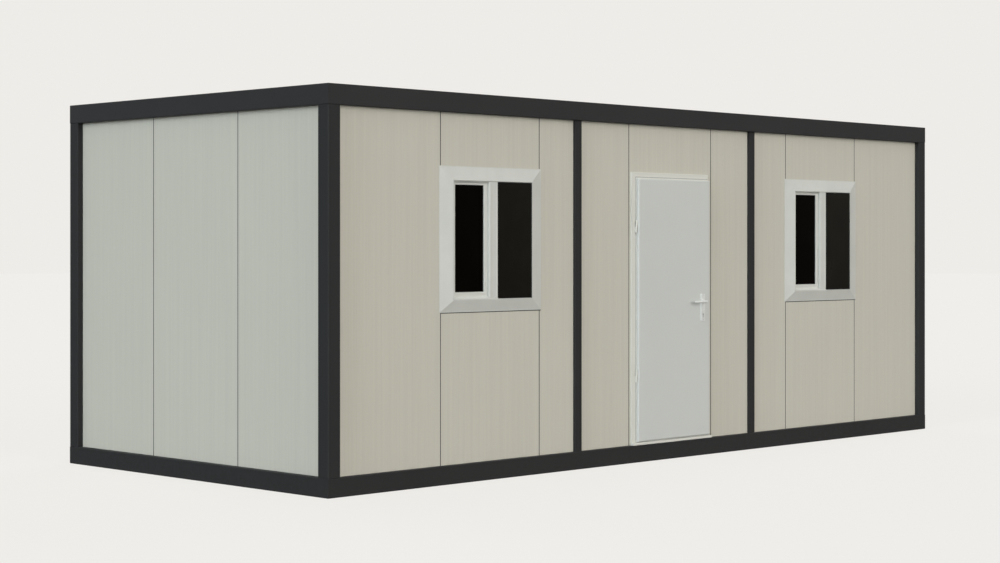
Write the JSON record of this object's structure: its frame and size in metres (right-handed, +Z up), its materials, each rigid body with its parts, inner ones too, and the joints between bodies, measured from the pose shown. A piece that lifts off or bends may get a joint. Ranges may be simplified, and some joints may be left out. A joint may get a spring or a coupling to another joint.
{
  "type": "portable site cabin",
  "caption": "Steel-framed portable site cabin of upright sandwich panels, with an outward-opening door, a sprung lever handle, sliding windows and a ribbed roof set behind its roof rails.",
  "frame": {"origin": "on the ground at the middle of the cabin, the centre of the base frame's footprint", "axes": "+Z up, +X along the long side, the wall with the door and windows faces -Y"},
  "size_m": [7, 3.0475, 2.7],
  "materials": {
    "frame_paint": "matt dark grey paint on folded steel",
    "panel_skin": "satin off-white coated steel sheet with shallow upright ribs",
    "window_plastic": "white plastic",
    "window_glass": "dark glass",
    "door_frame_paint": "satin off-white paint",
    "door_paint": "satin light grey paint",
    "handle_metal": "satin aluminium",
    "lock_metal": "nickel plated",
    "joist_steel": "galvanised",
    "floor_board": "unfinished board",
    "floor_covering": "sheet vinyl",
    "roof_skin": "off-white coated steel sheet"
  },
  "bodies": {
    "cabin": {"base_rail_front": "frame_paint", "base_rail_back": "frame_paint", "base_rail_left": "frame_paint", "base_rail_right": "frame_paint", "roof_rail_front": "frame_paint", "roof_rail_back": "frame_paint", "roof_rail_left": "frame_paint", "roof_rail_right": "frame_paint", "corner_post_front_left": "frame_paint", "corner_post_front_right": "frame_paint", "corner_post_back_left": "frame_paint", "corner_post_back_right": "frame_paint", "mid_post_front_left": "frame_paint", "mid_post_front_right": "frame_paint", "mid_posts_back": "frame_paint", "front_panel_1": "panel_skin", "front_panel_2": "panel_skin", "front_panel_3": "panel_skin", "front_door_header": "panel_skin", "front_door_side_strips": "panel_skin", "front_panel_5": "panel_skin", "front_panel_6": "panel_skin", "front_panel_7": "panel_skin", "left_panel_front": "panel_skin", "left_panel_middle": "panel_skin", "left_panel_back": "panel_skin", "right_panels": "panel_skin", "back_panels": "panel_skin", "window_left_surround": "window_plastic", "window_left_casing": "window_plastic", "window_left_sash": "window_plastic", "window_right_surround": "window_plastic", "window_right_casing": "window_plastic", "window_right_sash": "window_plastic", "window_left_sash_pane": "window_glass", "window_left_fixed_pane": "window_glass", "window_right_sash_pane": "window_glass", "window_right_fixed_pane": "window_glass", "door_frame": "door_frame_paint", "door_threshold": "door_frame_paint", "door_frame_hinges": "door_frame_paint", "floor_joists": "joist_steel", "floor_board": "floor_board", "floor_covering": "floor_covering", "roof_panels": "roof_skin"},
    "door": {"door_leaf": "door_paint", "door_leaf_hinges": "door_frame_paint", "door_lock_plates": "handle_metal", "door_lock_cylinder": "lock_metal"},
    "lever": {"door_lever": "handle_metal"}
  },
  "joints": [
    {"name": "door_swing", "type": "hinge", "parent": "cabin", "child": "door", "pos_m": [-0.431, -1.484, 1.2], "axis": [0, 0, -1], "range_deg": [0, 150]},
    {"name": "lever_turn", "type": "hinge", "parent": "door", "child": "lever", "pos_m": [0.345, -1.497, 1.204], "axis": [0, -1, 0], "range_deg": [0, 40], "stiffness_Nm_per_rad": 1, "springref_deg": -28.65}
  ]
}
